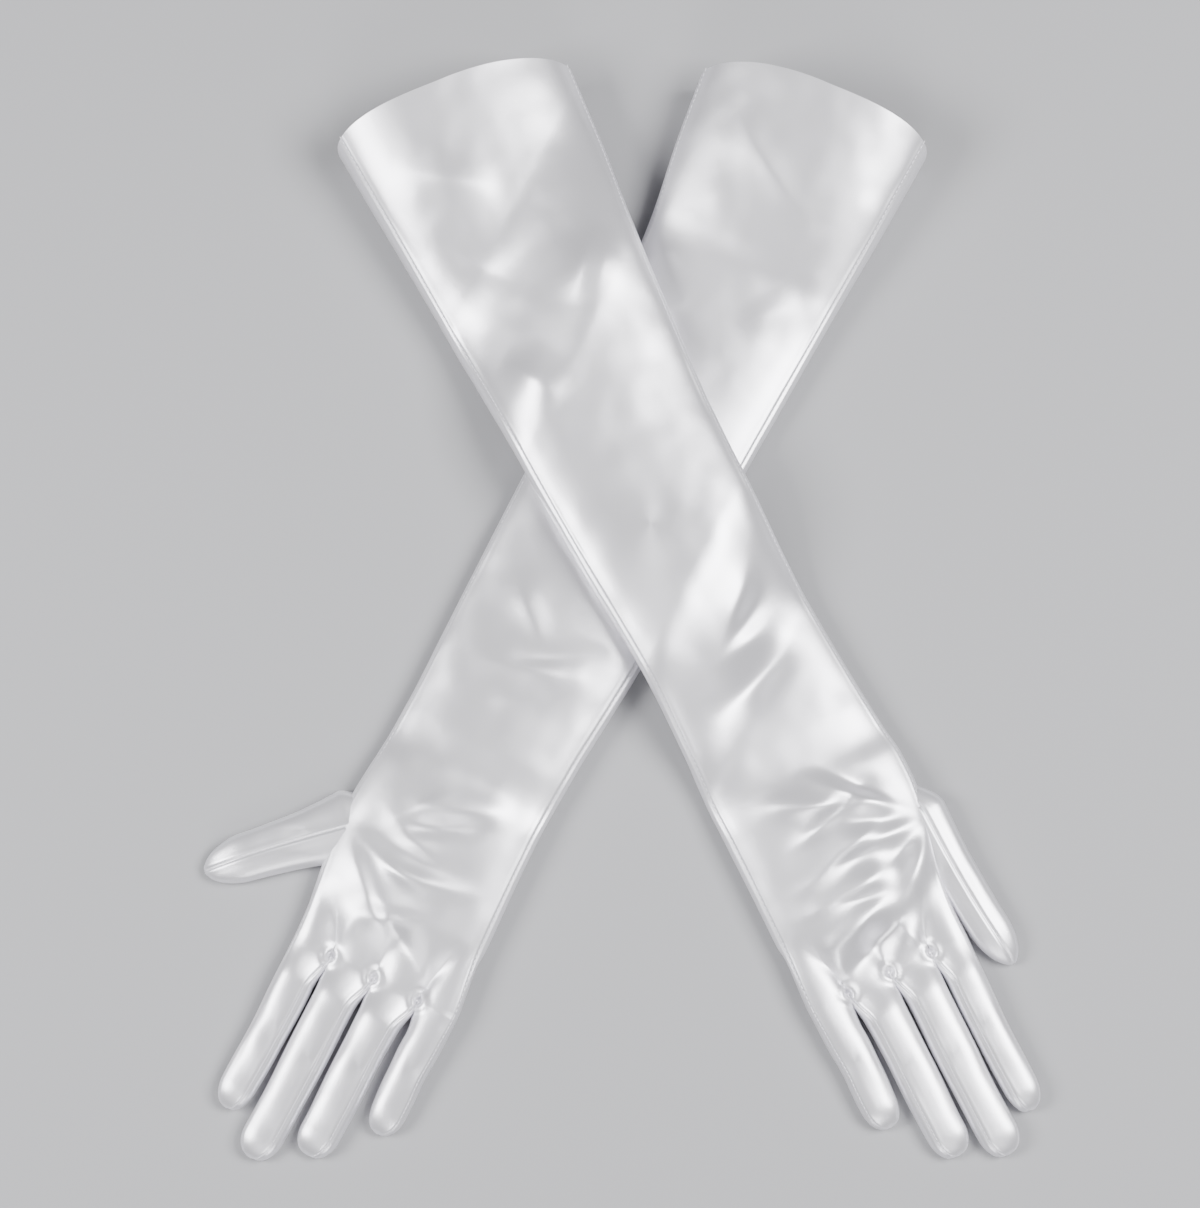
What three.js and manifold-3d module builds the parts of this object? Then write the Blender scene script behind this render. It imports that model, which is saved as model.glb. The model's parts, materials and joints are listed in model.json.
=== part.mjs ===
// A pair of elbow-length satin gloves laid crossed on a table, backs of the hands up:
// the left one flat on the table, the right one over it. Millimetres, +Z up, table at z = 0.
// Each glove is drawn in its own plane: a runs across it towards the thumb, l runs along it
// towards the fingertips (l = 0 where the two gloves cross), z is the height.
import * as THREE from "three";
import { mergeVertices } from "three/addons/utils/BufferGeometryUtils.js";
import Module from "manifold-3d";

const CLOTH = 1.2; // thickness of every panel
const SEAM = 0.3; // gap between two sewn panels
const LEAN = Math.tan(THREE.MathUtils.degToRad(31)); // how the edges of a folding line lean back
const CREASE = 0.5; // gap at the foot of a folding line
const WRIST = 118; // the hand folds up from the sleeve here
const SIDE_ANGLE = 0.42; // half of the side strip of a finger, as an angle of its section
const HEM_DIP = 11; // how far the back of the cuff reaches beyond its sides
const OVER_LEFT = 18.7; // height at which the right glove passes over the left one
const LEFT_BAND = { from: -28, to: 62, handReach: 55, cuffReach: 60 };
const THUMB_CLEAR = 0.7;
const THUMB_SEAM = 0.02; // half the gap of the seams along a thumb, as an angle of its section

// Stations: l, edge on the little-finger side, edge on the thumb side, height.
const RIGHT = {
  name: "right", side: 1, turn: 26.3, over: true, knuckles: 230,
  cuffSkew: 14,
  sleeve: [
    [-244, -38.6, 79, 46], [-184, -34, 75, 36], [-138, -30.8, 69.5, 28], [-92, -28, 66.2, 23],
    [-46, -25.8, 63.5, 20], [0, -23, 63.5, 20], [46, -19.3, 64.4, 19], [92, -18.4, 67.2, 17.5],
    [118, -19.3, 69.5, 17],
  ],
  hand: [
    [118, -19.3, 69.5, 17], [138, -19, 72, 18], [152, -19, 71, 18], [172, -19, 64, 17.5],
    [186, -19, 60.7, 17], [210, -19.2, 60.5, 15.5], [230, -19.3, 60.3, 13.5],
  ],
  fingers: {
    little: { edges: [-19.3, -0.6], tip: [-9.2, 283.8] },
    ring: { edges: [1.0, 21.2], tip: [12.6, 308.7] },
    middle: { edges: [22.0, 42.0], tip: [33.2, 318.3] },
    index: { edges: [42.8, 60.3], tip: [51.5, 305] },
  },
  thumb: { pivot: [68.5, 164], tip: [74.5, 243], root: 10.5, end: 9, swing: [0, 30] },
};
const LEFT = {
  name: "left", side: -1, turn: 27, over: false, knuckles: 232,
  cuffSkew: 13,
  sleeve: [
    [-244, -38, 76.5, 44], [-184, -35.4, 69.9, 32], [-150, -33.3, 64.5, 23],
    [-120, -31.7, 62.5, 18.2], [-92, -30.4, 62.3, 18], [-46, -28.5, 62.1, 18],
    [46, -27.1, 61.6, 18], [92, -23, 60.9, 17], [118, -21.6, 61.4, 16.5],
  ],
  hand: [
    [118, -21.6, 61.4, 16.5], [138, -21.2, 62.8, 17.5], [156, -21.8, 64.5, 17.5],
    [176, -22.6, 62.5, 17], [190, -23.2, 60.2, 16.8], [210, -24, 59.2, 15.5],
    [232, -25.4, 58.4, 13.5],
  ],
  fingers: {
    little: { edges: [-25.6, -7.6], tip: [-16.6, 284.7] },
    ring: { edges: [-4.6, 15.8], tip: [6.9, 307.7] },
    middle: { edges: [17.6, 38.0], tip: [29, 320.2] },
    index: { edges: [39.1, 57.5], tip: [49.2, 305.4] },
  },
  thumb: { pivot: [59, 168], tip: [108.5, 215.5], root: 12.5, end: 9, swing: [-18, 8] },
};
const CROSSING = [4.64, 21.4]; // where a = 0, l = 0 of both gloves sits on the table
const FINGER_HEIGHT = { root: 13, end: 9 };
const THUMB_HEIGHT = 13;

// The sleeve is laid out in three lengths, each ending at this l.
const SLEEVE_LENGTHS = [["cuff", -125], ["forearm", 0], ["wrist", WRIST]];

const ROWS = { sleeve: 6, hand: 9, finger: 5, tip: 4 };
const COLUMNS = { sleeve: 9, hand: 11, finger: 6, strip: 3, thumb: 8 };

const SATIN = {
  back: [0xf0eff4, 0.42], palm: [0xe2e1e8, 0.46], strip: [0xd6d5de, 0.48],
};

const wasm = await Module();
wasm.setup();
const gloves = new THREE.Group();
gloves.name = "opera_gloves";

const rad = THREE.MathUtils.degToRad;
const mix = THREE.MathUtils.lerp;
const span = (n, f) => Array.from({ length: n }, (_, i) => f(i / (n - 1), i));

// A smooth curve through the stations: the values of every column at l.
function station(list, l) {
  const x = THREE.MathUtils.clamp(l, list[0][0], list.at(-1)[0]);
  const i = Math.min(list.findLastIndex((s) => s[0] <= x), list.length - 2);
  const [p, q] = [list[i], list[i + 1]];
  const slope = (j, k) => {
    const [m, n] = [list[Math.max(j - 1, 0)], list[Math.min(j + 1, list.length - 1)]];
    return (n[k] - m[k]) / (n[0] - m[0]);
  };
  const w = q[0] - p[0], t = (x - p[0]) / w;
  return p.slice(1).map((v, k) => {
    const [a, b] = [slope(i, k + 1) * w, slope(i + 1, k + 1) * w], d = q[k + 1] - v;
    return v + t * (a + t * (3 * d - 2 * a - b + t * (a + b - 2 * d)));
  });
}

// A point on a flattened tube: angle 0 is the thumb side, a quarter turn is the back.
// s holds the side edges, the underside, the level of the side seams and the top.
function onTube(s, angle, inset, part) {
  const c = Math.cos(angle), v = Math.sin(angle), n = 2 / 2.5;
  const half = Math.max((s.to - s.from) / 2 - inset, 0.3);
  const a = (s.from + s.to) / 2 + half * Math.sign(c) * Math.abs(c) ** n;
  const gap = part === "strip" ? 0 : SEAM / 2;
  const rise = Math.max(s.top - inset - s.seam - gap, 0.15) * Math.abs(v) ** n;
  const drop = Math.max(s.seam - gap - s.low - inset, 0.15) * Math.min(1, 1.2 * Math.abs(v) ** n);
  const above = part === "strip" ? v >= 0 : part === "back";
  return [a, above ? s.seam + gap + rise : s.seam - gap - drop];
}

// Height of the table or of the other glove under a point of the plan.
function ground(g, x, y) {
  if (!g.over) return 0;
  const t = rad(LEFT.turn);
  const a = -(x - CROSSING[0]) * Math.cos(t) + (y - CROSSING[1]) * Math.sin(t);
  const out = a > LEFT_BAND.to ? (a - LEFT_BAND.to) / LEFT_BAND.cuffReach
    : a < LEFT_BAND.from ? (LEFT_BAND.from - a) / LEFT_BAND.handReach : 0;
  return OVER_LEFT * (1 - THREE.MathUtils.smoothstep(out, 0, 1));
}

function onTable(g, a, l, z) {
  const t = rad(g.turn);
  const x = CROSSING[0] + g.side * (a * Math.cos(t) + l * Math.sin(t));
  const y = CROSSING[1] + a * Math.sin(t) - l * Math.cos(t);
  return [x, y, z + ground(g, x, y)];
}

// A closed sheet of cloth between an outer and an inner grid of points.
function sheet(outer, inner) {
  const rows = outer.length, cols = outer[0].length, at = (i, j) => i * cols + j;
  const points = [...outer.flat(), ...inner.flat()].flat(), n = rows * cols, faces = [];
  const quad = (p, q, r, s) => faces.push(p, q, r, p, r, s);
  for (let i = 0; i < rows - 1; i++)
    for (let j = 0; j < cols - 1; j++) {
      quad(at(i, j), at(i + 1, j), at(i + 1, j + 1), at(i, j + 1));
      quad(n + at(i, j), n + at(i, j + 1), n + at(i + 1, j + 1), n + at(i + 1, j));
    }
  for (let i = 0; i < rows - 1; i++)
    for (const [j, turn] of [[0, 0], [cols - 1, 1]]) {
      const e = [at(i, j), n + at(i, j), n + at(i + 1, j), at(i + 1, j)];
      quad(...(turn ? e.reverse() : e));
    }
  for (let j = 0; j < cols - 1; j++)
    for (const [i, turn] of [[0, 1], [rows - 1, 0]]) {
      const e = [at(i, j), n + at(i, j), n + at(i, j + 1), at(i, j + 1)];
      quad(...(turn ? e.reverse() : e));
    }
  const made = solid(points, faces);
  if (made.volume() > 0) return made;
  for (let k = 0; k < faces.length; k += 3) [faces[k], faces[k + 1]] = [faces[k + 1], faces[k]];
  return solid(points, faces);
}

function solid(points, faces) {
  return new wasm.Manifold(new wasm.Mesh({
    numProp: 3, vertProperties: new Float32Array(points), triVerts: new Uint32Array(faces),
  }));
}

function add(name, made, [colour, roughness]) {
  const m = made.getMesh();
  const shape = new THREE.BufferGeometry()
    .setAttribute("position", new THREE.BufferAttribute(new Float32Array(m.vertProperties), 3))
    .setIndex(new THREE.BufferAttribute(new Uint32Array(m.triVerts), 1));
  shape.computeVertexNormals();
  const look = new THREE.MeshStandardMaterial({ color: colour, roughness, metalness: 0 });
  const mesh = new THREE.Mesh(shape, look);
  mesh.name = name;
  gloves.add(mesh);
}

// One panel: for every angle of the section a run of points from start(a, z) to end(a, z).
function panel(g, { angles, section, from, to, shares, part }) {
  const grid = (inset) => shares.map((share) => angles.map((angle) => {
    const ends = [from, to].map((end) => end(angle, inset));
    const l = mix(ends[0], ends[1], share);
    const [a, z] = onTube(section(l), angle, inset, part);
    return onTable(g, ...section.place(a, l), z);
  }));
  return sheet(grid(0), grid(CLOTH));
}

// The end of a panel at a folding line: it leans back above the axis.
const folded = (section, line, height, towards) => (angle, inset) => {
  const z = onTube(section(line), angle, inset, "strip")[1];
  return line + towards * (CREASE + Math.max(0, z - height / 2) * LEAN);
};

function tube(list, l) {
  const [from, to, height] = station(list, l);
  return { from, to, low: 0, seam: height * 0.42, top: height };
}

function sleeveAndHand(g) {
  const inPlane = (a, l) => [a, l];
  const sleeve = Object.assign((l) => tube(g.sleeve, l), { place: inPlane });
  const hand = Object.assign((l) => tube(g.hand, l), { place: inPlane });
  const wristHeight = g.hand[0][3], knuckleHeight = g.hand.at(-1)[3];
  const rim = (angle) => -230 + g.cuffSkew * (Math.cos(angle) + 1) / 2 -
    HEM_DIP * Math.max(0, Math.sin(angle)) ** 1.2;
  const halves = { back: [0, Math.PI], palm: [Math.PI, 2 * Math.PI] };
  const cut = thumbHole(g);
  for (const [part, [first, last]] of Object.entries(halves)) {
    SLEEVE_LENGTHS.forEach(([label, end], k) => {
      const start = k === 0 ? rim : () => SLEEVE_LENGTHS[k - 1][1] + SEAM / 2;
      const finish = end === WRIST ? folded(sleeve, WRIST, wristHeight, -1) : () => end - SEAM / 2;
      add(`${g.name}_${label}_${part}`, panel(g, {
        angles: span(COLUMNS.sleeve, (t) => mix(first, last, t)), part, section: sleeve,
        from: start, to: finish, shares: span(ROWS.sleeve, (t) => t),
      }), SATIN[part]);
    });
    const whole = panel(g, {
      angles: span(COLUMNS.hand, (t) => mix(first, last, t)), part, section: hand,
      from: folded(hand, WRIST, wristHeight, 1),
      to: folded(hand, g.knuckles, knuckleHeight, -1), shares: span(ROWS.hand, (t) => t),
    });
    add(`${g.name}_hand_${part}`, whole.subtract(cut), SATIN[part]);
  }
}

// A finger or thumb narrows a little along its length and closes in a round tip.
function digit(g, { from, length, root, end, heights, along }) {
  const round = end * 1.05, straight = length - round;
  const section = (l) => {
    const t = THREE.MathUtils.clamp(l / length, 0, 1);
    const close = l <= straight ? 1 : Math.sqrt(Math.max(1 - ((l - straight) / round) ** 2, 0.02));
    const half = mix(root, end, t) * close, height = mix(...heights, t);
    const seam = height * 0.45, tall = 0.25 + 0.75 * close;
    return { from: -half, to: half, low: seam * (1 - tall), seam, top: seam + (height - seam) * tall };
  };
  section.place = (a, l) => [from[0] + a * along[1] + l * along[0], from[1] + l * along[1] - a * along[0]];
  const edge = straight / length;
  const shares = [...span(ROWS.finger, (t) => t * edge),
    ...span(ROWS.tip, (t) => mix(edge, 1, Math.sin(0.35 + t * (Math.PI / 2 - 0.35 - 0.06))))];
  return { section, shares, length };
}

function fingers(g) {
  const names = Object.keys(g.fingers);
  names.forEach((name, k) => {
    const { edges, tip } = g.fingers[name], middle = (edges[0] + edges[1]) / 2;
    const lean = (tip[0] - middle) / (tip[1] - g.knuckles);
    const finger = digit(g, {
      from: [middle, g.knuckles], length: tip[1] - g.knuckles,
      root: (edges[1] - edges[0]) / 2, end: (edges[1] - edges[0]) / 2 - 0.9,
      heights: [FINGER_HEIGHT.root, FINGER_HEIGHT.end], along: [lean, 1],
    });
    finger.section.place = (a, l) => [middle + a + lean * l, g.knuckles + l];
    const start = folded(finger.section, 0, FINGER_HEIGHT.root, 1);
    const strips = { ulnar: k > 0, radial: k < names.length - 1 };
    const piece = (label, part, first, last, columns) => add(`${g.name}_${name}_${label}`, panel(g, {
      angles: span(columns, (t) => mix(first, last, t)), part, section: finger.section,
      from: start, to: () => finger.length, shares: finger.shares,
    }), SATIN[part]);
    const thumbwards = strips.radial ? SIDE_ANGLE : 0, outwards = strips.ulnar ? SIDE_ANGLE : 0;
    piece("back", "back", thumbwards, Math.PI - outwards, COLUMNS.finger);
    piece("palm", "palm", Math.PI + outwards, 2 * Math.PI - thumbwards, COLUMNS.finger);
    const narrow = SIDE_ANGLE - 0.06;
    if (strips.radial) piece("radial_fourchette", "strip", -narrow, narrow, COLUMNS.strip);
    if (strips.ulnar)
      piece("ulnar_fourchette", "strip", Math.PI - narrow, Math.PI + narrow, COLUMNS.strip);
  });
}

function thumbShape(g) {
  const { pivot, tip, root, end } = g.thumb;
  const way = [tip[0] - pivot[0], tip[1] - pivot[1]], length = Math.hypot(...way);
  return digit(g, {
    from: pivot, length, root, end, heights: [THUMB_HEIGHT, FINGER_HEIGHT.end],
    along: way.map((v) => v / length),
  });
}

function thumb(g) {
  const shape = thumbShape(g), { root } = g.thumb;
  const start = (angle, inset) =>
    -Math.sqrt(Math.max(root ** 2 - onTube(shape.section(0), angle, inset, "back")[0] ** 2, 0));
  const halves = [["outer", "back", -Math.PI / 2], ["inner", "palm", Math.PI / 2]];
  for (const [label, look, first] of halves)
    add(`${g.name}_thumb_${label}`, panel(g, {
      angles: span(COLUMNS.thumb, (t) => first + THUMB_SEAM + t * (Math.PI - 2 * THUMB_SEAM)),
      part: "strip", section: shape.section,
      from: start, to: () => shape.length, shares: shape.shares,
    }), SATIN[look]);
}

// The opening in the hand where the thumb is set in, wide enough for its whole swing.
function thumbHole(g) {
  const { pivot, tip, root, swing } = g.thumb, t0 = Math.atan2(tip[0] - pivot[0], tip[1] - pivot[1]);
  const posts = span(4, (t) => {
    const turn = t0 + rad(mix(swing[0], swing[1], t));
    const outline = [...span(13, (u) => {
      const round = Math.PI * (1 + u);
      return [Math.cos(round), Math.sin(round)].map((v) => v * (root + THUMB_CLEAR));
    }), [root - 0.5, 34], [-(root - 0.5), 34]];
    const plan = new THREE.Shape(outline.map(([a, l]) => {
      const spot = [pivot[0] + a * Math.cos(turn) + l * Math.sin(turn),
        pivot[1] + l * Math.cos(turn) - a * Math.sin(turn)];
      return new THREE.Vector2(...onTable(g, ...spot, 0).slice(0, 2));
    }));
    const post = new THREE.ExtrudeGeometry(plan, { depth: 60, bevelEnabled: false });
    post.translate(0, 0, -20).deleteAttribute("normal").deleteAttribute("uv");
    const whole = mergeVertices(post, 1e-4);
    return solid(whole.attributes.position.array, whole.index.array);
  });
  return wasm.Manifold.union(posts);
}

for (const g of [LEFT, RIGHT]) {
  sleeveAndHand(g);
  fingers(g);
  thumb(g);
}

export default gloves;
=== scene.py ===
import json
import math

import bpy
import numpy as np
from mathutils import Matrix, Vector


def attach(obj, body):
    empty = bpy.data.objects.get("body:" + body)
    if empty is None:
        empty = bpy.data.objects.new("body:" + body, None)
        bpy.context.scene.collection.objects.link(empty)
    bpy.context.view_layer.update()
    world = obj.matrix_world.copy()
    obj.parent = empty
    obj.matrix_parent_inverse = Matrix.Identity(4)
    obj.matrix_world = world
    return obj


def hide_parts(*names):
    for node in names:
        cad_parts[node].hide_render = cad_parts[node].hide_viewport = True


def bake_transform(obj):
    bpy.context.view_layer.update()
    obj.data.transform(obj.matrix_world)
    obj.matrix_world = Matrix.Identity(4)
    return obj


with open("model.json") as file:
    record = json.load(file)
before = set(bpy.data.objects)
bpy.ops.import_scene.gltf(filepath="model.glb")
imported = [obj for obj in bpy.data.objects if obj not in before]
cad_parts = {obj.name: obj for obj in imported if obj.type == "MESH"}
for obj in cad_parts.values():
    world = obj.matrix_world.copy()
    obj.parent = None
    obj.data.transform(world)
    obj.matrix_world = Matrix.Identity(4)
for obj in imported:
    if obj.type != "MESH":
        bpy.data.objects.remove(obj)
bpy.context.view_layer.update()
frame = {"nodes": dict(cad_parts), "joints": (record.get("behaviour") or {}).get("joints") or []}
JOINTS = {j["name"]: j for j in frame["joints"]}
NODES = frame["nodes"]

# ---------------------------------------------------------------- driving dimensions, mm and degrees
# Each glove has its own plane: a across it towards the thumb, l along it towards the fingertips.
# middle is where the wrist fold lies across; skew is how much longer the thumb side's rim is cut back.
WRIST = 118
RIM, HEM_DIP, HEM_DEPTH = -230, 11, 13
CLOTH = 0.45
SECTION = 2.5  # how square a flattened tube is: 2 is an ellipse
CROTCH_BACK = 0.45  # how far behind the knuckles fingers part, as a share of a finger's width
KNUCKLE_FADE = 34
CROTCH_FADE = 17
CROTCH_LIP = 1.1
CROTCH_LEVEL = dict(back=7.2, palm=2.4)  # heights at which the seams meet in a crotch
FINGERS = ("little", "ring", "middle", "index")
# Where each seam runs round the section: 0 is the thumb side, 90 the middle of the back.
SEAM_ANGLE = dict(thumb_side=18, back=125, little=140, palm_far=198, palm_near=322, body_near=14,
                  body_far=158)
ROWS = dict(body=330, finger=70, tip=14, thumb=60)
COLUMNS = dict(back=22, palm=12, strip=6, thumb=26)  # per finger on the back and the palm
RISE = dict(height=18.7, low=-28, high=62, hand_reach=55, cuff_reach=60)

FOLD_DEPTH, FOLD_WIDTH = 1.75, 1.15  # all folds together

# Folds come where the cloth is pulled: from the thumb joint and the crotches, and in rows past the wrist,
# on both sides of the crossing and down the flare of the cuff. The thumb joint is the frame's, and the
# crotches lie between the frame's fingers. The rows are set by WRIST, RISE, RIM and FLARE_END.
# heading is from straight across, for the first and the last fold; share is the length as a share of
# the glove's width there; width and height in mm; turn is how far the fold curves.
PULLS = dict(
    thumb=dict(count=6, heading=(120, 240), share=0.65, width=5, height=1.7, turn=15),
    crotch=dict(count=3, heading=(285, 255), share=0.35, width=4.5, height=0.9, turn=0),
    wrist=dict(count=8, heading=(40, -20), share=0.75, width=5.5, height=2.3, turn=-20),
    landing=dict(count=4, heading=(50, 20), share=0.7, width=6, height=1.8, turn=-15),
    leaving=dict(count=3, heading=(30, 50), share=0.5, width=6, height=1.3, turn=15),
    flare=dict(count=3, heading=(45, 75), share=0.6, width=8, height=1.3, turn=-20),
)
FLARE_END = -125  # where the cuff stops opening out, and its CAD solid ends
ROW_INSET = 0.15  # how far in from an edge the folds of a row start, as a share of the width
THUMB_TIP = 21  # the length over which a thumb closes
THUMB_FLARE = 22  # how fast its root narrows
# thumb: half widths at the root and past it, and how far its middle bows outwards.
# creased: how deep the glove's folds are beside the other's.
RIGHT = dict(name="right", over=True, thumb=(11, 9.6, -1.5), skew=14, middle=25.1, knuckles=230,
             creased=1, seed=11)
LEFT = dict(name="left", over=False, thumb=(17.5, 10.6, 0.8), skew=13, middle=19.9, knuckles=232,
            creased=0.55, seed=23)


# ---------------------------------------------------------------- small maths
def smooth(t):
    t = np.clip(t, 0, 1)
    return t * t * (3 - 2 * t)


def mix(a, b, t):
    return a + (b - a) * t


def along(stations, l):
    """Smooth values of every column of the stations at l, carried on straight past their ends."""
    x, y = stations[:, 0], stations[:, 1:]
    i = np.clip(np.searchsorted(x, l, "right") - 1, 0, len(x) - 2)
    slope = np.gradient(y, x, axis=0)
    w = (x[i + 1] - x[i])[..., None]
    t = np.clip((l - x[i])[..., None] / w, 0, 1)
    p, q, d = slope[i] * w, slope[i + 1] * w, y[i + 1] - y[i]
    out = y[i] + t * (p + t * (3 * d - 2 * p - q + t * (p + q - 2 * d)))
    beyond = np.minimum(l - x[0], 0)[..., None] * slope[0]
    return np.moveaxis(out + beyond, -1, 0)


def round_tube(low_edge, high_edge, low, seam, top, angle):
    """Across and up on a flattened tube: angle 0 is the thumb side, 90 degrees the back."""
    c, s, e = np.cos(angle), np.sin(angle), 2 / SECTION
    a = (low_edge + high_edge) / 2 + (high_edge - low_edge) / 2 * np.sign(c) * np.abs(c) ** e
    lift = np.abs(s) ** e
    under = seam - (seam - low) * (1 - (1 - np.minimum(lift, 1)) ** 2.4)
    return a, np.where(s >= 0, seam + (top - seam) * lift, under)


def even_angles(first, last, count):
    """Section angles of columns laid evenly round a flattened tube, a little closer at the seams."""
    dense = np.radians(np.linspace(first, last, 361))
    a, z = round_tube(-45, 45, 0, 8, 18, dense)
    run = np.concatenate([[0], np.hypot(np.diff(a), np.diff(z)).cumsum()])
    t = np.linspace(0, 1, count + 1)
    t = t - 0.12 * np.sin(2 * np.pi * t)
    return np.interp(t * run[-1], run, dense)


def wobble(seed, size, across=1.0):
    """A smooth seeded field over the plane of a glove, about -1 to 1."""
    values = np.random.RandomState(seed).uniform(-1, 1, (96, 192))

    def at(a, l):
        x, y = (a * across + 200) / size % 95, (l + 300) / size % 191
        i, j = x.astype(int), y.astype(int)
        u, v = smooth(x - i), smooth(y - j)
        low = mix(values[i, j], values[i + 1, j], u)
        return mix(low, mix(values[i, j + 1], values[i + 1, j + 1], u), v)
    return at


def arc_line(a, l, heading, length, turn, steps=14):
    angles = np.radians(heading + turn * (np.arange(steps) + 0.5) / steps)
    moves = length / steps * np.column_stack([np.cos(angles), np.sin(angles)])
    return np.vstack([[a, l], [a, l] + np.cumsum(moves, axis=0)])


def pulled_folds(glove, other, edges, crotches):
    """Every fold of a glove: each a little off its place in its row, every second one a hollow."""
    g = glove.g
    r = np.random.RandomState(g["seed"])
    middle = glove.start + g["middle"] * glove.a_way
    step = glove.l_way @ other.a_way
    low, high = sorted((RISE[k] - (middle - other.start) @ other.a_way) / step for k in ("low", "high"))
    spans = dict(wrist=(WRIST, crotches[0][1]), landing=(high, high + RISE["hand_reach"]),
                 leaving=(low - RISE["cuff_reach"], low), flare=(RIM, FLARE_END))
    folds = []
    for kind, pull in PULLS.items():
        for k in range(pull["count"]):
            t = (k + 0.5) / pull["count"]
            heading = mix(*pull["heading"], t) + r.uniform(-10, 10)
            turn = pull["turn"]
            if kind in spans:
                l = mix(*spans[kind], t)
                near, far = edges(l)
                from_thumb = r.uniform() < 0.5
                a = mix(near, far, 1 - ROW_INSET if from_thumb else ROW_INSET)
                if from_thumb:
                    heading, turn = 180 - heading, -turn
            else:
                a, l = glove.pivot if kind == "thumb" else crotches[k]
                near, far = edges(l)
            length = pull["share"] * (far - near) * r.uniform(0.75, 1.15)
            line = arc_line(*(np.array([a, l]) + r.uniform(-2, 2, 2)), heading, length, turn)
            depth = FOLD_DEPTH * g["creased"] * pull["height"] * (-0.8 if k % 2 else 1)
            folds.append((line, FOLD_WIDTH * pull["width"] * r.uniform(0.8, 1.2), depth))
    return folds


def fold_height(folds, a, l):
    total = np.zeros_like(a)
    for line, width, height in folds:
        lo, hi = line.min(0) - 3 * width, line.max(0) + 3 * width
        near = (a > lo[0]) & (a < hi[0]) & (l > lo[1]) & (l < hi[1])
        x = np.column_stack([a[near], l[near]])
        best, place = np.full(len(x), 1e9), np.zeros(len(x))
        for k in range(len(line) - 1):
            d = line[k + 1] - line[k]
            u = np.clip(((x - line[k]) @ d) / (d @ d), 0, 1)
            gap = np.linalg.norm(x - line[k] - u[:, None] * d, axis=1)
            closer = gap < best
            best[closer], place[closer] = gap[closer], (k + u[closer]) / (len(line) - 1)
        fade = smooth(np.minimum(place, 1 - place) / 0.5)
        total[near] += height * fade * np.exp(-((best / width) ** 1.6))
    return total


# ---------------------------------------------------------------- a glove in its own plane
class Glove:
    def __init__(self, g):
        self.g, self.name = g, g["name"]
        wrist, thumb = JOINTS[f"{self.name}_wrist_fold"], JOINTS[f"{self.name}_thumb_swing"]
        axis = np.array(wrist["axis"], float)
        reach = np.array(thumb["pos_m"], float) - np.array(wrist["pos_m"], float)
        self.a_way = axis * np.sign(reach @ axis)
        self.l_way = np.cross([0, 0, 1.0], axis)
        self.start = np.array(wrist["pos_m"], float) * 1000 * [1, 1, 0]
        self.start = self.start - g["middle"] * self.a_way - WRIST * self.l_way
        self.pivot = self.flat(np.array(thumb["pos_m"], float) * 1000)[:2]

    def flat(self, p):
        """(a, l, height above whatever lies below) of points in mm."""
        d = p - self.start
        return np.stack([d @ self.a_way, d @ self.l_way, p[..., 2] - self.ground(p)], -1)

    def ground(self, p):
        if not self.g["over"]:
            return np.zeros(p.shape[:-1])
        a = (p - UNDER.start) @ UNDER.a_way
        out = np.where(a > RISE["high"], (a - RISE["high"]) / RISE["cuff_reach"],
                       np.where(a < RISE["low"], (RISE["low"] - a) / RISE["hand_reach"], 0))
        return RISE["height"] * (1 - smooth(out))

    def place(self, points):
        """Points (a, l, z) of the glove set down where it lies, in metres."""
        p = self.start + points[..., :1] * self.a_way + points[..., 1:2] * self.l_way
        p[..., 2] = np.maximum(points[..., 2], 0.05) + self.ground(p)
        return p / 1000

    def triangles(self, *names):
        found = []
        for name in names:
            mesh = NODES[f"{self.name}_{name}"].data
            mesh.calc_loop_triangles()
            co = np.array([v.co for v in mesh.vertices]) * 1000
            found.append(self.flat(co)[np.array([t.vertices[:] for t in mesh.loop_triangles])])
        return np.concatenate(found)


def slice_at(triangles, l):
    """Lowest across, highest across and highest level of a CAD shape where it is cut at l."""
    p = triangles[:, [0, 1, 2]].reshape(-1, 3)
    q = triangles[:, [1, 2, 0]].reshape(-1, 3)
    cut = (p[:, 1] - l) * (q[:, 1] - l) < 0
    if cut.sum() < 8:
        return None
    p, q = p[cut], q[cut]
    at = p + (q - p) * ((l - p[:, 1]) / (q[:, 1] - p[:, 1]))[:, None]
    return at[:, 0].min(), at[:, 0].max(), at[:, 2].max()


def body_stations(glove):
    parts = [f"{k}_{side}" for k in ("cuff", "forearm", "wrist", "hand") for side in ("back", "palm")]
    triangles = glove.triangles(*parts)
    seams = (FLARE_END, 0, WRIST)
    hole = (glove.pivot[1] - 16, glove.pivot[1] + 42)  # the thumb is set in here, so the edge is cut away
    rows = []
    for l in np.arange(-210, glove.g["knuckles"] - 5, 9.0):
        if min(abs(l - s) for s in seams) < 4.5 or hole[0] < l < hole[1]:
            continue
        found = slice_at(triangles, l)
        if found:
            rows.append((l, *found))
    return np.array(rows)


def finger_shape(glove, name):
    parts = [f"{name}_back", f"{name}_palm"]
    parts += [f"{name}_{side}_fourchette" for side in ("radial", "ulnar")
              if f"{glove.name}_{name}_{side}_fourchette" in NODES]
    triangles = glove.triangles(*parts)
    flat = triangles.reshape(-1, 3)
    tip_l = flat[:, 1].max()
    low, high, top = slice_at(triangles, glove.g["knuckles"] + 7)
    end_low, end_high, end_top = slice_at(triangles, tip_l - 14)
    return dict(root=(low, high), end=(end_low, end_high), tops=(top, end_top), tip=tip_l)


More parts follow.
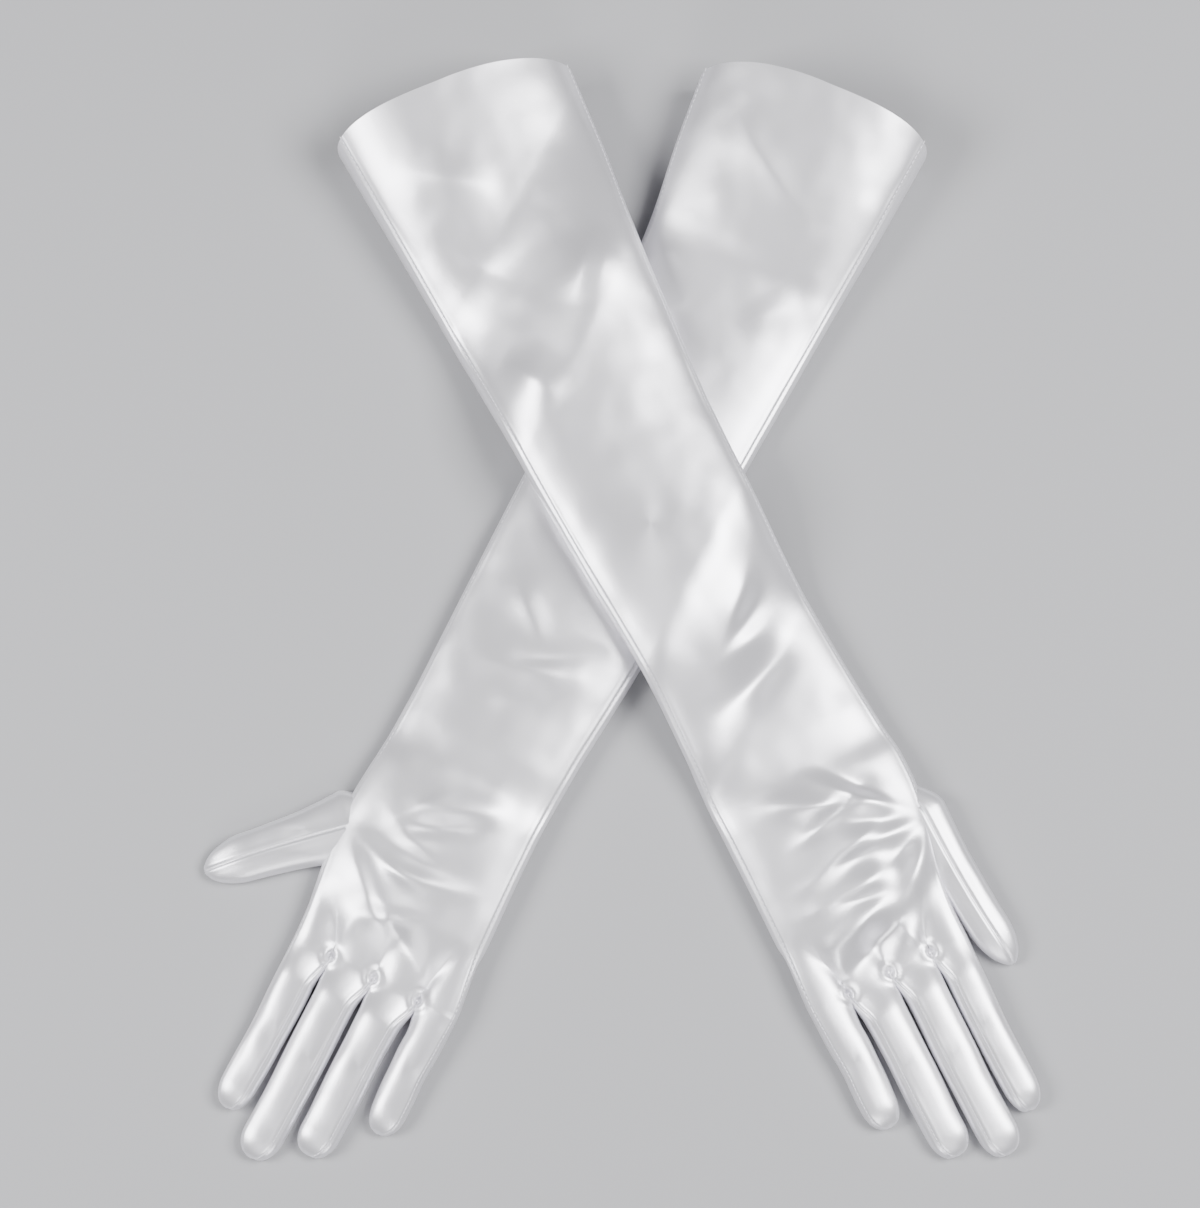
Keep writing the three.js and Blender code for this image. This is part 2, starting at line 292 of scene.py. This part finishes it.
def finger_patches(glove):
    """Panels of the four fingers, and the crotch points they share."""
    g = glove.g
    shapes = [finger_shape(glove, name) for name in FINGERS]
    width = np.mean([f["root"][1] - f["root"][0] for f in shapes])
    start = g["knuckles"] - CROTCH_BACK * width
    between = [mix(shapes[k]["root"][1], shapes[k + 1]["root"][0], 0.5) for k in range(3)]
    panels = {}
    for k, (name, f) in enumerate(zip(FINGERS, shapes)):
        close = 12.0
        straight = np.linspace(start, f["tip"] - close, ROWS["finger"])
        turn = np.linspace(0, math.pi / 2 - 0.01, ROWS["tip"])[1:]
        l = np.concatenate([straight, f["tip"] - close + close * np.sin(turn)])[:, None]
        shut = np.concatenate([np.ones(len(straight)), np.cos(turn) ** 0.86])[:, None]
        t = (l - g["knuckles"] - 7) / (f["tip"] - 14 - g["knuckles"] - 7)
        low, high = mix(f["root"][0], f["end"][0], t), mix(f["root"][1], f["end"][1], t)
        sway = 0.4 * np.sin(1.2 * np.pi * t + k) * shut
        half = ((high - low) / 2 + 0.12 * np.sin(3 * np.pi * t + 2 * k)) * shut
        top = mix(*f["tops"], t) * mix(0.3, 1, shut)
        floor = (1 - shut) * 2.2
        centre = (low + high) / 2 + sway
        dims = (centre - half, centre + half, floor, mix(floor, top, 0.44), top)
        ulnar_back = SEAM_ANGLE["little"] if k == 0 else SEAM_ANGLE["back"]
        ulnar_palm = SEAM_ANGLE["little"] if k == 0 else SEAM_ANGLE["palm_far"]
        near_palm = 360 + SEAM_ANGLE["thumb_side"] if k == 3 else SEAM_ANGLE["palm_near"]
        wanted = [("back", SEAM_ANGLE["thumb_side"], ulnar_back, COLUMNS["back"]),
                  ("palm", ulnar_palm, near_palm, COLUMNS["palm"])]
        if k < 3:
            wanted.append(("radial_fourchette", SEAM_ANGLE["palm_near"], 360 + SEAM_ANGLE["thumb_side"],
                           COLUMNS["strip"]))
        if k > 0:
            wanted.append(("ulnar_fourchette", SEAM_ANGLE["back"], SEAM_ANGLE["palm_far"],
                           COLUMNS["strip"]))
        for label, first, last, count in wanted:
            angle = even_angles(first, last, count)[None, :]
            a, z = round_tube(*dims, angle)
            grid = np.stack([a, np.broadcast_to(l, a.shape), z], -1)
            share = np.linspace(0, 1, count + 1)[None, :, None]
            fade = (1 - smooth((l - start) / CROTCH_FADE))[..., None]
            for at, weight in ((first, 1 - share), (last, share)):
                target = crotch_point(at, k, between, start)
                if target is not None:
                    column = 0 if at == first else -1
                    grid = grid + (target - grid[:1, column:][:, :1]) * fade * weight
            panels[name, label] = grid
    return panels, [(a, start) for a in between]


def crotch_point(angle, k, between, start):
    """Where a finger's seam at this section angle runs into the crotch beside it."""
    back, palm = CROTCH_LEVEL["back"], CROTCH_LEVEL["palm"]
    side = {SEAM_ANGLE["thumb_side"]: (k, back), 360 + SEAM_ANGLE["thumb_side"]: (k, back),
            SEAM_ANGLE["palm_near"]: (k, palm), SEAM_ANGLE["back"]: (k - 1, back),
            SEAM_ANGLE["palm_far"]: (k - 1, palm)}.get(angle)
    if side is None or not 0 <= side[0] < 3:
        return None
    return np.array([between[side[0]], start, side[1]])


def body_patch(glove, stations, part, last_row):
    g = glove.g
    near, far = SEAM_ANGLE["body_near"], SEAM_ANGLE["body_far"]
    count = last_row.shape[0] - 1
    angle = even_angles(near, far, count) if part == "back" else even_angles(far, 360 + near, count)
    rim = RIM + g["skew"] * (np.cos(angle) + 1) / 2 - HEM_DIP * np.maximum(0, np.sin(angle)) ** 1.2
    t = np.linspace(0, 1, ROWS["body"])[:, None]
    l = mix(rim[None, :], last_row[:, 1].mean(), t)
    low, high, height = along(stations, l)
    a, z = round_tube(low, high, 0 * l, 0.42 * height, height, angle[None, :])
    grid = np.stack([a, l, z], -1)
    weight = smooth((l - l[-1:] + KNUCKLE_FADE) / KNUCKLE_FADE)[..., None]
    return grid + (last_row[None] - grid[-1:]) * weight


def thumb_patches(glove):
    triangles = glove.triangles("thumb_outer", "thumb_inner")
    flat = triangles.reshape(-1, 3)
    away = flat[:, :2] - glove.pivot
    far = np.linalg.norm(away, axis=1)
    way = away[far > far.max() - 3].mean(0)
    way = way / np.linalg.norm(way)
    out = np.array([way[1], -way[0]])
    length = (away @ way).max()
    root, end, bow = glove.g["thumb"]
    straight = np.linspace(-24, length - THUMB_TIP, ROWS["thumb"])
    turn = np.linspace(0, math.pi / 2 - 0.01, ROWS["tip"])[1:]
    t = np.concatenate([straight, length - THUMB_TIP + THUMB_TIP * np.sin(turn)])[:, None]
    shut = np.concatenate([np.ones(len(straight)), np.cos(turn) ** 1.15])[:, None]
    share = np.clip(t / length, 0, 1)
    half = mix(end, root, np.exp(-np.maximum(t, 0) / THUMB_FLARE)) * shut
    sunk = smooth(-t / 24)
    half = half * (1 - 0.3 * sunk)
    centre = bow * np.sin(np.pi * share) - 9 * sunk
    top = mix(13, 9.5, share) * mix(0.3, 1, shut) * (1 - 0.25 * sunk)
    floor = (1 - shut) * 2.2 + 1.5 * sunk
    patches = {}
    for label, first in (("outer", -90), ("inner", 90)):
        angle = even_angles(first, first + 180, COLUMNS["thumb"])[None, :]
        n, z = round_tube(centre - half, centre + half, floor, mix(floor, top, 0.44), top, angle)
        a = glove.pivot[0] + t * way[0] + n * out[0]
        l = glove.pivot[1] + t * way[1] + n * out[1]
        patches[label] = np.stack([a, l, z], -1)
    return patches, way


ROUNDS = 1000  # points closer than a thousandth of a unit count as one


def grid_normals(grids):
    """Smooth normals of several grids at once: points that coincide share one normal."""
    points = np.concatenate([g.reshape(-1, 3) for g in grids])
    raw = []
    for g in grids:
        du, dv = np.gradient(g, axis=0), np.gradient(g, axis=1)
        raw.append(np.cross(du, dv).reshape(-1, 3))
    raw = np.concatenate(raw)
    _, key = np.unique(np.round(points * ROUNDS), axis=0, return_inverse=True)
    key = key.ravel()
    total = np.zeros((key.max() + 1, 3))
    np.add.at(total, key, raw)
    n = total[key]
    n /= np.maximum(np.linalg.norm(n, axis=1, keepdims=True), 1e-12)
    cuts = np.cumsum([g.shape[0] * g.shape[1] for g in grids])[:-1]
    return [part.reshape(g.shape) for part, g in zip(np.split(n, cuts), grids)]


def seam_groove(grid):
    """The cloth dips at a seam and rises a little beside it."""
    run = np.linalg.norm(np.diff(grid, axis=1), axis=2).cumsum(axis=1)
    run = np.hstack([np.zeros((len(run), 1)), run])
    s = np.minimum(run, run[:, -1:] - run)
    return -0.38 * np.exp(-((s / 0.6) ** 2)) + 0.2 * np.exp(-(((s - 1.6) / 0.9) ** 2))


def crotch_lip(points, a, l):
    """The rounded lip of cloth round each crotch, with a dip in its middle."""
    lift = np.zeros_like(a)
    for x, y in points:
        r = np.hypot(a - x, (l - y) * 0.9)
        lift += CROTCH_LIP * (np.exp(-(((r - 3.1) / 1.5) ** 2)) - 0.7 * np.exp(-((r / 1.4) ** 2)))
    return lift


def drape(glove, grids, crotches, edges):
    """Lifts the folds and the soft unevenness of laid satin out of the smooth panels."""
    g = glove.g
    folds = pulled_folds(glove, UNDER if g["over"] else OVER, edges, crotches)
    broad, fine = wobble(g["seed"] + 1, 34, 1.2), wobble(g["seed"] + 2, 12, 1.3)
    draped = {}
    for (key, grid), normal in zip(grids.items(), grid_normals(list(grids.values()))):
        name, label = key
        a, l = grid[..., 0], grid[..., 1]
        j = np.linspace(0, 1, grid.shape[1])[None, :]
        back = label in ("back", "outer")
        inside = smooth(np.minimum(j, 1 - j) / (0.12 if name == "body" else 0.3))
        lift = 0.42 * broad(a, l) + 0.2 * fine(a, l)
        if name == "body" and back:
            lift = lift + fold_height(folds, a, l)
        elif name != "body":
            lift = 0.6 * lift + 0.2 * wobble(g["seed"] + 5, 10, 0.9)(a, l)
        if not back:
            lift = lift * 0.3
        if not g["over"]:
            p = glove.start + a[..., None] * glove.a_way + l[..., None] * glove.l_way
            across = (p - OVER.start) @ OVER.a_way
            covered = smooth((across + 48) / 16) * smooth((96 - across) / 16)
            lift = mix(lift, np.minimum(lift, 0.1), covered)
        lift = lift * inside + seam_groove(grid)
        if label == "back":
            lift = lift + crotch_lip(crotches, a, l)
        draped[key] = grid + normal * lift[..., None]
    return draped


def weld_edges(grids):
    """Brings seam points that parted in draping back onto their shared mean."""
    before = np.concatenate([g["was"].reshape(-1, 3) for g in grids])
    after = np.concatenate([g["now"].reshape(-1, 3) for g in grids])
    _, key = np.unique(np.round(before * ROUNDS), axis=0, return_inverse=True)
    key = key.ravel()
    total, count = np.zeros((key.max() + 1, 3)), np.bincount(key)
    np.add.at(total, key, after)
    mean = (total / count[:, None])[key]
    cuts = np.cumsum([g["now"].shape[0] * g["now"].shape[1] for g in grids])[:-1]
    return [part.reshape(g["now"].shape) for part, g in zip(np.split(mean, cuts), grids)]


def glove_grids(glove):
    """Every panel of one glove laid out in metres, with its normals."""
    panels, crotches = finger_patches(glove)
    stations = body_stations(glove)

    def joined(label, names):
        rows = [panels[name, label][0] for name in names]
        return np.concatenate([rows[0]] + [r[1:] for r in rows[1:]])

    flat = {("body", "back"): body_patch(glove, stations, "back", joined("back", FINGERS[::-1])),
            ("body", "palm"): body_patch(glove, stations, "palm", joined("palm", FINGERS))}
    flat.update(panels)
    thumb, way = thumb_patches(glove)
    flat.update({("thumb", label): grid for label, grid in thumb.items()})

    def edges(l):
        low, high, _ = along(stations, np.array(l))
        return low, high

    draped = drape(glove, flat, crotches, edges)
    welded = weld_edges([dict(was=flat[k], now=draped[k]) for k in flat])
    placed = [glove.place(grid) for grid in welded]
    sign = -1 if glove.g["over"] else 1
    normals = [sign * n for n in grid_normals([p * 1000 for p in placed])]
    return {k: (p, n) for k, p, n in zip(flat, placed, normals)}, way


# ---------------------------------------------------------------- materials
def node(tree, kind, inputs=None, **settings):
    n = tree.nodes.new(kind)
    for key, value in settings.items():
        setattr(n, key, value)
    for key, value in (inputs or {}).items():
        n.inputs[key].default_value = value
    return n


def satin(name, colour, shade, roughness):
    """Woven satin: a fine warp and weft, a little uneven in colour, soft sheen."""
    m = bpy.data.materials.new(name)
    m.use_nodes = True
    t = m.node_tree
    b = t.nodes["Principled BSDF"]
    b.inputs["Metallic"].default_value = 0.64
    b.inputs["Anisotropic"].default_value = 0.35
    b.inputs["Sheen Weight"].default_value = 0.25
    b.inputs["Sheen Roughness"].default_value = 0.4
    b.inputs["Specular IOR Level"].default_value = 0.5
    uv = node(t, "ShaderNodeUVMap", uv_map="cloth")
    place = node(t, "ShaderNodeTexCoord")
    clouds = node(t, "ShaderNodeTexNoise", {"Scale": 22, "Detail": 4, "Roughness": 0.55})
    tint = node(t, "ShaderNodeMix", data_type="RGBA")
    tint.inputs[6].default_value = (*colour, 1)
    tint.inputs[7].default_value = (*shade, 1)
    gloss = node(t, "ShaderNodeMapRange", {"To Min": roughness - 0.03, "To Max": roughness + 0.06})
    warp = node(t, "ShaderNodeTexWave", {"Scale": 1.4}, bands_direction="X")
    weft = node(t, "ShaderNodeTexWave", {"Scale": 0.55}, bands_direction="Y")
    weave = node(t, "ShaderNodeMath", operation="MULTIPLY")
    crinkle = node(t, "ShaderNodeTexNoise", {"Scale": 160, "Detail": 3, "Roughness": 0.6})
    both = node(t, "ShaderNodeMath", {1: 0.7}, operation="MULTIPLY_ADD")
    bump = node(t, "ShaderNodeBump", {"Strength": 0.35, "Distance": 0.00003})
    for a, b_ in ((place.outputs["Object"], clouds.inputs["Vector"]),
                  (place.outputs["Object"], crinkle.inputs["Vector"]),
                  (uv.outputs[0], warp.inputs["Vector"]), (uv.outputs[0], weft.inputs["Vector"]),
                  (clouds.outputs[0], tint.inputs[0]), (clouds.outputs[0], gloss.inputs[0]),
                  (tint.outputs[2], b.inputs["Base Color"]), (gloss.outputs[0], b.inputs["Roughness"]),
                  (warp.outputs[1], weave.inputs[0]), (weft.outputs[1], weave.inputs[1]),
                  (crinkle.outputs[0], both.inputs[0]), (weave.outputs[0], both.inputs[2]),
                  (both.outputs[0], bump.inputs["Height"]), (bump.outputs[0], b.inputs["Normal"])):
        t.links.new(a, b_)
    return m


def plain(name, colour, roughness):
    m = bpy.data.materials.new(name)
    m.use_nodes = True
    b = m.node_tree.nodes["Principled BSDF"]
    b.inputs["Base Color"].default_value = (*colour, 1)
    b.inputs["Roughness"].default_value = roughness
    return m


# ---------------------------------------------------------------- cloth and stitches
def cloth(name, grid, normal, over, material, thickness=CLOTH):
    """A panel as a closed sheet with both faces of the satin and smooth normals."""
    rows, cols = grid.shape[:2]
    n = rows * cols
    points = np.concatenate([grid.reshape(-1, 3), (grid - normal * thickness / 1000).reshape(-1, 3)])
    k = np.arange(n).reshape(rows, cols)
    quads = np.stack([k[:-1, :-1], k[1:, :-1], k[1:, 1:], k[:-1, 1:]], -1).reshape(-1, 4)
    edge = np.concatenate([k[:, 0], k[-1, 1:], k[::-1, -1][1:], k[0, ::-1][1:]])
    border = np.stack([edge[1:], edge[:-1], edge[:-1] + n, edge[1:] + n], -1)
    faces = np.concatenate([quads, quads[:, ::-1] + n, border])
    if over:
        faces = faces[:, ::-1]
    mesh = bpy.data.meshes.new(name)
    mesh.from_pydata(points.tolist(), [], faces.tolist())
    across = np.concatenate([[0], np.linalg.norm(np.diff(grid, axis=1), axis=2).mean(0).cumsum()])
    down = np.concatenate([[0], np.linalg.norm(np.diff(grid, axis=0), axis=2).mean(1).cumsum()])
    uv = np.stack(np.broadcast_arrays(across[None, :], down[:, None]), -1).reshape(-1, 2) * 1000
    layer = mesh.uv_layers.new(name="cloth")
    layer.data.foreach_set("uv", uv[faces.ravel() % n].ravel())
    both = np.concatenate([normal.reshape(-1, 3), -normal.reshape(-1, 3)])
    loops = both[faces.ravel()]
    p = points[faces[-len(border):]]
    side = np.cross(p[:, 1] - p[:, 0], p[:, 3] - p[:, 0])
    side /= np.maximum(np.linalg.norm(side, axis=1, keepdims=True), 1e-12)
    loops[-4 * len(border):] = np.repeat(side, 4, axis=0)
    mesh.shade_smooth()
    mesh.normals_split_custom_set(loops.tolist())
    mesh.materials.append(material)
    obj = bpy.data.objects.new(name, mesh)
    bpy.context.collection.objects.link(obj)
    return obj


def stitch_tree(thread):
    """Geometry nodes that lay a thread stitch at every step along a seam."""
    tree = bpy.data.node_groups.new("seam_stitches", "GeometryNodeTree")
    face = tree.interface
    face.new_socket("Seams", in_out="INPUT", socket_type="NodeSocketGeometry")
    for label, value in (("Stitch spacing", 0.0024), ("Stitch length", 0.0016), ("Thread radius", 0.00019)):
        face.new_socket(label, in_out="INPUT", socket_type="NodeSocketFloat").default_value = value
    face.new_socket("Stitches", in_out="OUTPUT", socket_type="NodeSocketGeometry")
    given, made = tree.nodes.new("NodeGroupInput"), tree.nodes.new("NodeGroupOutput")
    curve = tree.nodes.new("GeometryNodeMeshToCurve")
    steps = node(tree, "GeometryNodeResampleCurve", mode="LENGTH")
    thread_bit = node(tree, "GeometryNodeMeshCylinder", {"Vertices": 6, "Side Segments": 1})
    way = tree.nodes.new("GeometryNodeInputTangent")
    turn = node(tree, "FunctionNodeAlignRotationToVector", axis="Z")
    put = tree.nodes.new("GeometryNodeInstanceOnPoints")
    real = tree.nodes.new("GeometryNodeRealizeInstances")
    look = node(tree, "GeometryNodeSetMaterial", {"Material": thread})
    for a, b in ((given.outputs["Seams"], curve.inputs[0]), (curve.outputs[0], steps.inputs["Curve"]),
                 (given.outputs["Stitch spacing"], steps.inputs["Length"]),
                 (given.outputs["Stitch length"], thread_bit.inputs["Depth"]),
                 (given.outputs["Thread radius"], thread_bit.inputs["Radius"]),
                 (way.outputs[0], turn.inputs["Vector"]), (steps.outputs[0], put.inputs["Points"]),
                 (thread_bit.outputs[0], put.inputs["Instance"]), (turn.outputs[0], put.inputs["Rotation"]),
                 (put.outputs[0], real.inputs[0]), (real.outputs[0], look.inputs[0]),
                 (look.outputs[0], made.inputs[0])):
        tree.links.new(a, b)
    return tree


def stitches(name, routes, tree, spacing):
    """Stitches along seam routes, made one plain mesh."""
    points, edges = [], []
    for route in routes:
        edges += [(len(points) + i, len(points) + i + 1) for i in range(len(route) - 1)]
        points += route.tolist()
    line = bpy.data.meshes.new(name)
    line.from_pydata(points, edges, [])
    guide = bpy.data.objects.new(name + "_route", line)
    bpy.context.collection.objects.link(guide)
    modifier = guide.modifiers.new("stitches", "NODES")
    modifier.node_group = tree
    ids = {item.name: item.identifier for item in tree.interface.items_tree if item.in_out == "INPUT"}
    modifier[ids["Stitch spacing"]] = spacing
    made = bpy.data.meshes.new_from_object(guide.evaluated_get(bpy.context.evaluated_depsgraph_get()))
    obj = bpy.data.objects.new(name, made)
    bpy.context.collection.objects.link(obj)
    bpy.data.objects.remove(guide)
    return obj


def seam_routes(grid, normal, columns=(0, -1)):
    """Where the thread runs beside a panel's side seams, a hair above the satin."""
    inset = {0: 2, -1: -3}
    return [grid[::2, inset[c]] + normal[::2, inset[c]] * 0.00006 for c in columns]


# ---------------------------------------------------------------- the pair
UNDER = Glove(LEFT)
OVER = Glove(RIGHT)
BACK = satin("satin_back", (0.90, 0.89, 0.93), (0.82, 0.81, 0.86), 0.31)
# The palm and the thumb's inner side use the back's satin in darker colours: painted shade for panels that
# turn down away from the lamps.
SHADED_PALM = satin("satin_palm", (0.86, 0.85, 0.89), (0.80, 0.79, 0.84), 0.33)
# The fourchettes use the back's satin in still darker colours: painted shade for the strips between the
# fingers.
SHADED_STRIP = satin("satin_fourchette", (0.84, 0.83, 0.88), (0.79, 0.78, 0.83), 0.31)
THREAD = plain("thread", (0.82, 0.81, 0.85), 0.45)
TREE = stitch_tree(THREAD)


def hem(glove, grids):
    """The turned band inside the cuff, all the way round."""
    rings = []
    for part in ("back", "palm"):
        grid, normal = grids["body", part]
        depth = int(np.searchsorted(np.linalg.norm(grid[:, 40] - grid[0, 40], axis=1) * 1000, HEM_DEPTH))
        rings.append((grid[:depth], normal[:depth]))
    depth = min(len(r[0]) for r in rings)
    grid = np.hstack([rings[0][0][:depth], rings[1][0][:depth, 1:]])
    normal = np.hstack([rings[0][1][:depth], rings[1][1][:depth, 1:]])
    return cloth(f"{glove.name}_hem", grid - normal * (CLOTH + 0.15) / 1000, normal, glove.g["over"], BACK)


def build(glove):
    grids, way = glove_grids(glove)
    side, over = glove.name, glove.g["over"]

    def spot(a, l):
        return Vector(glove.place(np.array([[a, l, 8.0]]))[0])

    wrist = (f"{side}_sleeve", f"{side}_hand", spot(glove.g["middle"], 96), spot(glove.g["middle"], 140))
    for part, material in (("back", BACK), ("palm", SHADED_PALM)):
        grid, normal = grids["body", part]
        obj = cloth(f"{side}_glove_{part}", grid, normal, over, material)
        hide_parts(*[f"{side}_{k}_{part}" for k in ("cuff", "forearm", "wrist", "hand")])
        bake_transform(obj)
        extras = []
        if part == "back":
            thread = stitches(f"{side}_side_stitches", seam_routes(grid, normal), TREE, 0.0026)
            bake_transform(thread)
            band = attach(hem(glove, grids), f"{side}_sleeve")
            extras = [thread, band]
    for name in FINGERS:
        for (owner, label), (grid, normal) in grids.items():
            if owner != name:
                continue
            material = BACK if label == "back" else SHADED_PALM if label == "palm" else SHADED_STRIP
            obj = cloth(f"{side}_{name}_{label}_cloth", grid, normal, over, material)
            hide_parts(f"{side}_{name}_{label}")
            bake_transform(obj)
        grid, normal = grids[name, "back"]
        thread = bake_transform(stitches(f"{side}_{name}_stitches", seam_routes(grid, normal), TREE, 0.0022))
    for label, material in (("outer", BACK), ("inner", SHADED_PALM)):
        grid, normal = grids["thumb", label]
        obj = cloth(f"{side}_thumb_{label}_cloth", grid, normal, over, material)
        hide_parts(f"{side}_thumb_{label}")
        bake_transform(obj)
        extras = []
        if label == "outer":
            route = seam_routes(grid[20:], normal[20:], (-1,))
            extras = [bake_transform(stitches(f"{side}_thumb_stitches", route, TREE, 0.0022))]
    return f"{side}_glove_back"


def stage_set():
    bpy.ops.mesh.primitive_plane_add(size=16, location=(0, 0, -0.0005))
    floor = bpy.context.object
    floor.name = "table_top"
    floor.data.materials.append(plain("pale_table", (0.36, 0.36, 0.375), 0.9))
    for name, place, size, power in (("soft_left", (-1.15, -0.1, 1.15), 0.75, 34),
                                     ("soft_right", (1.0, 0.1, 1.45), 0.9, 52),
                                     ("soft_front", (0.1, -1.5, 1.1), 0.8, 12)):
        light = bpy.data.lights.new(name, "AREA")
        light.size, light.energy = size, power
        lamp = bpy.data.objects.new(name, light)
        lamp.location = place
        lamp.rotation_euler = (-Vector(place)).to_track_quat("-Z", "Y").to_euler()
        bpy.context.collection.objects.link(lamp)
    world = bpy.data.worlds.new("soft_room")
    world.use_nodes = True
    world.node_tree.nodes["Background"].inputs[0].default_value = (0.9, 0.91, 0.95, 1)
    world.node_tree.nodes["Background"].inputs[1].default_value = 0.15
    bpy.context.scene.world = world
    return floor


def camera():
    data = bpy.data.cameras.new("camera")
    data.sensor_fit = "HORIZONTAL"
    data.sensor_width = 36
    distance, width, lift = 1.6, 0.552, math.radians(82)
    data.lens = 36 * distance / width
    cam = bpy.data.objects.new("camera", data)
    target = Vector((-0.0092, 0.0012, 0.008))
    away = Vector((0, -math.cos(lift), math.sin(lift)))
    cam.location = target + away * distance
    cam.rotation_euler = (-away).to_track_quat("-Z", "Y").to_euler()
    bpy.context.collection.objects.link(cam)
    bpy.context.scene.camera = cam


table = stage_set()
lower = build(UNDER)
build(OVER)
camera()
